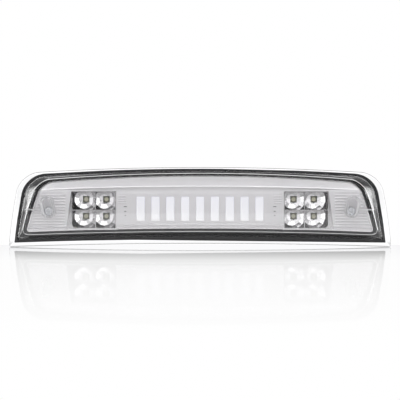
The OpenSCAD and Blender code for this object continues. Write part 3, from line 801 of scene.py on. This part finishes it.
# %% Ribs, wedges and slots
def ribs(name, x, low, count, step, wide, proud):
    """A row of equal three-sided ribs along X, copied upwards."""
    y = (plate_y - proud * MM, plate_y + 0.4 * MM)
    first = box(name, (min(x), max(x)), y, (height(low), height(low + wide)))
    pick(first, "FACE", lambda p, n: n.y < -0.9)
    bpy.ops.transform.resize(value=(1, 1, 0.15), center_override=(0, y[0], height(low + wide * 0.8)))
    placed(first)
    modify(
        first, "ARRAY", count=count, use_relative_offset=False, use_constant_offset=True,
        constant_offset_displace=(0, 0, step * MM),
    )
    return first


trim = []
for side in SIDES.values():
    inside = outline_slab(silver.grown(-3.2, -3.0, -3.0), (plate_y - 3 * MM, pan_y))
    end_x = (side * (cargo_out + skirt_mm * MM), side * 190 * MM)
    end_ribs = ribs("end ribs", end_x, 22.6, 12, 3.1, 2.6, 0.5)
    carve(end_ribs, inside, "INTERSECT")
    carve(end_ribs, stadium("well clearance", side, cut_y, well_outside + 0.8))
    trim.append(end_ribs)
    wedge_x = (side * (cargo_in - 2.2 * MM), side * (cargo_in - 11 * MM))
    trim.append(ribs("wedge ribs", wedge_x, 45.4, 4, 2.5, 2.0, 0.45))
    slot_middle = side * 80.5 * MM
    for level, reach in ((33.8, 1.2), (38.2, 2.2), (43.2, 3.4)):
        slot_x = (slot_middle - reach / 2 * MM, slot_middle + reach / 2 * MM)
        carve(plate, box("slot", slot_x, cut_y, (height(level - 0.3), height(level + 0.3))))
soft(plate, 0.22, 30)
print("ribs:", sum(len(piece.data.polygons) for piece in trim), "faces")


# %% Silver cups under the wells
for side in SIDES.values():
    cup_y = (plate_y + 0.3 * MM, pan_y - 0.02 * MM)
    hollow_y = (cup_y[0] - MM, pan_y - 0.15 * MM)
    liner = stadium("well cup", side, cup_y, well_outside + 0.15)
    carve(liner, stadium("well cup hollow", side, hollow_y, well_outside + 0.04))
    carve(liner, rod("well cup hole", side * screw_x, 0, (cup_y[0] - MM, pan_y + MM), 3.4 * MM))
    trim.append(liner)
satin_pieces = [painted(piece, satin_silver) for piece in [plate] + trim]
plate = joined(satin_pieces + [painted(lip, bright_silver)])
on_lamp(plate, "reflector_silver", "reflector_bezel")


# %% [markdown]
# ## Cargo lamps: four faceted cups a side
#
# Each cargo lamp is a block with four deep cups. A cup is a bowl of flat chrome facets around one
# white LED, so every facet throws its own little picture of the room: some dark, some bright. The
# cutter is a coarse ball with a few flat sides, squashed to the cup's depth, and kept inside its own
# cell by a box, which leaves thin walls between the cups.

# %% Cups cut into the blocks
cargo_leds_low, cargo_leds_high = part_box("right_cargo_leds")
half_led = 3.1 * MM
led_xs = (cargo_leds_low[0] + half_led, cargo_leds_high[0] - half_led)
led_zs = (cargo_leds_low[2] + half_led, cargo_leds_high[2] - half_led)
half_hole = 3.5 * MM
cup_depth = 13 * MM
bowl_reach = 17.5 * MM
cup_floor_y = plate_y + cup_depth
mid_x, mid_z = (led_xs[0] + led_xs[1]) / 2, (cargo_z[0] + cargo_z[1]) / 2


def bowl(side, x, z, cell_x, cell_z):
    """A faceted bowl around one LED, clipped to its cell."""
    nothing_selected()
    bpy.ops.mesh.primitive_uv_sphere_add(
        segments=14, ring_count=10, radius=1, rotation=(pi / 2, 0, radians(9))
    )
    ball = placed(bpy.context.object)
    ball.scale = (bowl_reach, cup_depth, bowl_reach)
    ball.location = (side * x, plate_y, z)
    placed(ball)
    cell_y = (plate_y - MM, cup_floor_y + MM)
    carve(ball, box("cell", (side * cell_x[0], side * cell_x[1]), cell_y, cell_z), "INTERSECT")
    return ball


for name, side in SIDES.items():
    block_y = (plate_y - 0.1 * MM, cup_high[1] - 0.1 * MM)
    block = prism(f"{name}_cargo_cups", cargo_corners(side, 0), block_y)
    skirt = prism("skirt", cargo_corners(side, skirt_mm), (pan_y + 0.2 * MM, pan_y + 1.6 * MM))
    carve(block, skirt, "UNION")
    outermost = cargo_out - cargo_flare - 0.7 * MM
    cells_x = ((cargo_in + 0.7 * MM, mid_x - 0.4 * MM), (mid_x + 0.4 * MM, outermost))
    cells_z = ((cargo_z[0] + 0.7 * MM, mid_z - 0.4 * MM), (mid_z + 0.4 * MM, cargo_z[1] - 0.7 * MM))
    for i in range(2):
        for j in range(2):
            carve(block, bowl(side, led_xs[i], led_zs[j], cells_x[i], cells_z[j]))
            hole_x = (side * (led_xs[i] - half_hole), side * (led_xs[i] + half_hole))
            hole_z = (led_zs[j] - half_hole, led_zs[j] + half_hole)
            carve(block, box("led hole", hole_x, (cup_floor_y - 2 * MM, cup_high[1] + MM), hole_z))
    outward(block)
    on_lamp(painted(block, cup_chrome), "cup_chrome", f"{name}_cargo_reflector")


# %% [markdown]
# ## LED packages
#
# A white LED is a small square frame of olive-grey resin around a round pool of yellow phosphor. The
# frame is a bevelled block with a round hollow, and the pool is a shallow disc inside it. One is
# made for each side, and three copies are moved to that side's other cups.

# %% One package, copied
def package_at(side, x, z):
    y = cargo_leds_low[1]
    frame_x = (side * x - half_led, side * x + half_led)
    frame_z = (z - half_led, z + half_led)
    frame_piece = box("led frame", frame_x, (y, cargo_leds_high[1]), frame_z)
    pick(frame_piece, "EDGE", lambda p, d: abs(d.y) > 0.5 * MM)
    bpy.ops.mesh.bevel(offset=0.5 * MM, segments=3)
    placed(frame_piece)
    carve(frame_piece, rod("pool", side * x, z, (y - MM, y + 0.7 * MM), 2.3 * MM, 32))
    painted(soft(frame_piece, 0.12, 30), package, phosphor)
    pool = rod("phosphor", side * x, z, (y + 0.35 * MM, y + 0.8 * MM), 2.28 * MM, 32)
    return joined([frame_piece, painted(pool, phosphor)])


for name, side in SIDES.items():
    first = package_at(side, led_xs[0], led_zs[0])
    first.name = f"{name}_cargo_led_packages"
    others = []
    for dx, dz in ((1, 0), (0, 1), (1, 1)):
        only(first)
        bpy.ops.object.duplicate(linked=False)
        twin = bpy.context.object
        twin.location = (side * dx * (led_xs[1] - led_xs[0]), 0, dz * (led_zs[1] - led_zs[0]))
        others.append(placed(twin))
    on_lamp(joined([first] + others), "led_package", f"{name}_cargo_leds")


# %% [markdown]
# ## Opal light bars
#
# The nine bars are one opal moulding: a back plate with nine pads that push forward through the
# silver panel's windows. Each pad has softly rounded edges, so it shows a fine bright rim.

# %% Back plate and pads
back_x = (diffuser_low[0], diffuser_high[0])
back_y = (diffuser_high[1] - 1.5 * MM, diffuser_high[1])
back_z = (diffuser_low[2], diffuser_high[2])
bars = box("opal_light_bars", back_x, back_y, back_z)
pads = []
for x in bar_xs:
    pad = box("pad", (x - 4 * MM, x + 4 * MM), (diffuser_low[1], back_y[0] + 0.4 * MM), bar_z)
    pads.append(soft(pad, 0.45, 30, 3))
bars = joined([bars] + pads)
on_lamp(painted(bars, opal), "opal_bars", "brake_diffuser")


# %% [markdown]
# ## Mounting screws
#
# Each screw has a domed pan head with a cross recess, a plain neck and a rolled thread. The thread
# is a small triangle swept along a helix by the Screw modifier, one turn for each 1.8 mm, around a
# thinner core that ends in a point.

# %% Head, core and thread
PITCH = 1.8 * MM
core_r, neck_r, head_r = 2.0 * MM, 2.28 * MM, 4.35 * MM
head_y, under_head_y, tip_y = screw_low[1], screw_low[1] + 3.6 * MM, screw_high[1]


def thread(x):
    """A helical ridge from the cab sheet to just short of the point."""
    ridge_corners = [(0, 0), (0.78 * MM, 0.5 * MM), (0, 1.0 * MM)]
    nothing_selected()
    bpy.ops.mesh.primitive_circle_add(vertices=3, radius=0.001, fill_type="NOTHING")
    ridge = placed(bpy.context.object)
    for v, (out_by, along) in zip(ridge.data.vertices, ridge_corners):
        v.co = (1.95 * MM + out_by, 0, along)
    modify(
        ridge, "SCREW", angle=2 * pi, screw_offset=PITCH, iterations=7, steps=28, render_steps=28,
        axis="Z", use_merge_vertices=False, use_smooth_shade=False,
    )
    whole(ridge)
    bpy.ops.mesh.select_all(action="DESELECT")
    bpy.ops.mesh.select_non_manifold()
    bpy.ops.mesh.fill_holes(sides=3)
    placed(ridge)
    ridge.rotation_euler = (-pi / 2, 0, 0)
    ridge.location = (x, 0.3 * MM, 0)
    placed(ridge)
    outward(ridge)
    return ridge


for name, side in SIDES.items():
    x = side * screw_x
    head = rod(f"{name}_threaded_screw", x, 0, (head_y, under_head_y), head_r, 64)
    pick(head, "EDGE", lambda p, d: p.y < head_y + 0.1 * MM)
    bpy.ops.mesh.bevel(offset=1.5 * MM, segments=6)
    placed(head)
    recess_y = (head_y - MM, head_y + 2.2 * MM)
    for wide, tall in ((2.3, 0.45), (0.45, 2.3)):
        recess_x = (x - wide * MM, x + wide * MM)
        carve(head, box("recess", recess_x, recess_y, (-tall * MM, tall * MM)))
    neck = rod("neck", x, 0, (under_head_y - 0.2 * MM, 0.4 * MM), neck_r)
    core = rod("core", x, 0, (0.2 * MM, tip_y), core_r)
    pick(core, "FACE", lambda p, n: n.y > 0.9)
    bpy.ops.transform.resize(value=(0.35, 1, 0.35), center_override=(x, tip_y, 0))
    placed(core)
    screw = joined([soft(head, 0.12, 30), neck, core, thread(x)])
    only(screw)
    bpy.ops.object.shade_smooth_by_angle(angle=radians(40))
    on_lamp(painted(screw, zinc), "screw_zinc", f"{name}_mounting_screw", body=f"{name}_screw")


# %% [markdown]
# ## Finishing the working parts
#
# Many working parts already have their real shape, so they keep it and get a surface. The ones with
# edges that show, such as the housing, the inlet and the vent caps, are copied, cleaned of the
# triangles that the frame stores them in, and given small rounded edges, as every moulding has.

# %% Copies with rounded edges
def refined(node, name, slot, material, width, angle=35):
    """A cleaned copy of a working part with rounded edges, which stands for it."""
    only(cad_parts[node])
    bpy.ops.object.duplicate(linked=False)
    piece = bpy.context.object
    piece.name = name
    piece.data = piece.data.copy()
    whole(piece)
    bpy.ops.mesh.remove_doubles(threshold=0.004 * MM)
    bpy.ops.mesh.dissolve_limited(angle_limit=radians(1.5))
    placed(piece)
    soft(piece, width, angle)
    return on_lamp(painted(piece, material), slot, node)


refined("rear_housing", "moulded_housing", "housing_black", black_plastic, 0.3)
refined("power_inlet", "moulded_inlet", "housing_black", black_plastic, 0.25)
refined("vent_caps", "slotted_vent_caps", "housing_black", black_plastic, 0.2)
refined("cab_gasket", "foam_gasket", "foam", foam, 0.25)
refined("lead_plugs", "nylon_plugs", "plug_ivory", ivory, 0.2)
refined("brake_board_header", "nylon_header", "plug_ivory", ivory, 0.2)


# %% Surfaces for the working parts that stay as they are
surfaces = {
    lead_red: ["supply_leads"],
    lead_black: ["left_cargo_leads", "right_cargo_leads"],
    sealant: ["lens_adhesive"],
    white_plastic: ["brake_cell_divider"],
    board_green: ["brake_led_board", "left_cargo_board", "right_cargo_board"],
    red_chip: ["brake_leds"],
    chip_black: ["brake_resistors", "cargo_resistors"],
    dark_screw: ["bezel_screws", "inlet_screws"],
    zinc: ["brake_board_screws", "cargo_board_screws", "left_screw_washer", "right_screw_washer"],
    seal_rubber: ["left_screw_seal", "right_screw_seal"],
    brass: ["left_screw_sleeve", "right_screw_sleeve", "inlet_pins"],
    silicone: ["inlet_seal"],
    film: ["vent_membranes"],
}
for material, names in surfaces.items():
    for name in names:
        for material_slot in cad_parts[name].material_slots:
            material_slot.material = material
print("surfaces set on", sum(len(names) for names in surfaces.values()), "working parts")


# %% [markdown]
# ## The studio
#
# A clear lamp is mostly what it reflects, so the room matters as much as the part. The viewer sees
# plain white, but the lamp sees a bright side in front of it, broken up by soft dark patches, with a
# small dark hole where the viewer stands. The hole keeps the black plastic black. A weak light
# comes from behind, a bright card beside each end lights the dome's side walls, and soft boxes above
# and at both sides draw the highlights. The lamp stands on polished white acrylic, which mirrors it
# where it is seen at a grazing angle.

# %% Room
world = bpy.data.worlds.new("studio")
bpy.context.scene.world = world
world.use_nodes = True
tree = world.node_tree
tree.nodes.clear()
start = Wire(tree)
out = tree.nodes.new("ShaderNodeOutputWorld")
direction = start.node("ShaderNodeTexCoord", output="Generated")
across = start.node("ShaderNodeSeparateXYZ", inputs={"Vector": direction}, output="X")
along = start.node("ShaderNodeSeparateXYZ", inputs={"Vector": direction}, output="Y")
seen = start.node("ShaderNodeLightPath", output="Is Camera Ray")
ahead = ((0 - along - 0.22) * 3.2).clamped()
lens_hole = ((0 - along - 0.93) * 25.0).clamped()
patches = noise(start, direction, 5.5, 1.0)
flags = ((patches - 0.5) * 10.0).clamped()
behind = ((along - 0.22) * 3.2).clamped() * 0.25 + ((along - 0.975) * 60.0).clamped() * 0.75
beside = ((across.maths("ABSOLUTE", across) - 0.7) * 6.0).clamped() * along.above(0.1) * 5.0
light = ahead * 1.7 * (1 - flags * 0.55) * (1 - lens_hole * 0.9) + behind + beside + 0.03
strength = seen + (1 - seen) * light
background = start.node("ShaderNodeBackground", inputs={"Color": (1, 1, 1, 1), "Strength": strength})
tree.links.new(background.socket, out.inputs["Surface"])


# %% Soft boxes
def soft_box(name, place, aim, size, power):
    """A large area light at place that faces aim."""
    data = bpy.data.lights.new(name, "AREA")
    data.shape = "RECTANGLE"
    data.size, data.size_y = size
    data.energy = power
    lamp = bpy.data.objects.new(name, data)
    bpy.context.scene.collection.objects.link(lamp)
    lamp.location = place
    lamp.rotation_euler = (Vector(aim) - Vector(place)).to_track_quat("-Z", "Y").to_euler()
    return lamp


soft_box("top_box", (0, -0.9, 1.0), (0, 0, 0), (1.4, 0.4), 2.4)
soft_box("left_box", (-1.1, -1.0, 0.3), (0, 0, 0), (0.3, 0.8), 1.1)
soft_box("right_box", (1.1, -1.0, 0.3), (0, 0, 0), (0.3, 0.8), 1.1)


# %% Floor
def polished_white():
    """White that mirrors what stands on it, and is plain white nearer the viewer and from above."""
    m, start, out = blank("polished_white")
    place = start.node("ShaderNodeTexCoord", output="Object")
    y = start.node("ShaderNodeSeparateXYZ", inputs={"Vector": place}, output="Y")
    near = ((y * 2.2 + 0.8).clamped() * 0.7 + (y * 0.25 + 0.27).clamped()) * (1 - y.above(0.06))
    level = start.node("ShaderNodeLayerWeight", output="Facing", inputs={"Blend": 0.5})
    near = near * ((level - 0.72) * 5.0).clamped()
    seen = start.node("ShaderNodeLightPath", output="Is Camera Ray")
    shade = (y.maths("ABSOLUTE", y) * 2.5 + 0.4).clamped() * 1.15
    haze = noise(start, place, 9.0)
    gloss = {"Color": (0.93, 0.93, 0.94, 1), "Roughness": haze * 0.02 + 0.015}
    mirror = start.node("ShaderNodeBsdfGlossy", inputs=gloss)
    strength = seen + (1 - seen) * shade
    white = start.node("ShaderNodeEmission", inputs={"Color": (1, 1, 1, 1), "Strength": strength})
    both = start.node("ShaderNodeMixShader", inputs={0: near * seen, 1: white, 2: mirror})
    start.tree.links.new(both.socket, out.inputs["Surface"])
    return m


nothing_selected()
bpy.ops.mesh.primitive_plane_add(size=8, location=(0, 0, floor_z - 0.05 * MM))
floor = placed(bpy.context.object)
floor.name = "studio_floor"
painted(floor, polished_white())

# %% Camera
WIDTH = 0.4298
DISTANCE = 1.6
SENSOR = 36
camera_data = bpy.data.cameras.new("camera")
camera_data.sensor_width = SENSOR
camera_data.lens = SENSOR * (DISTANCE + flange_y) / WIDTH
camera = bpy.data.objects.new("camera", camera_data)
bpy.context.scene.collection.objects.link(camera)
camera.location = (0, -DISTANCE, 12 * MM)
camera.rotation_euler = (pi / 2, 0, 0)
bpy.context.scene.camera = camera
bpy.context.scene.view_settings.view_transform = "Standard"
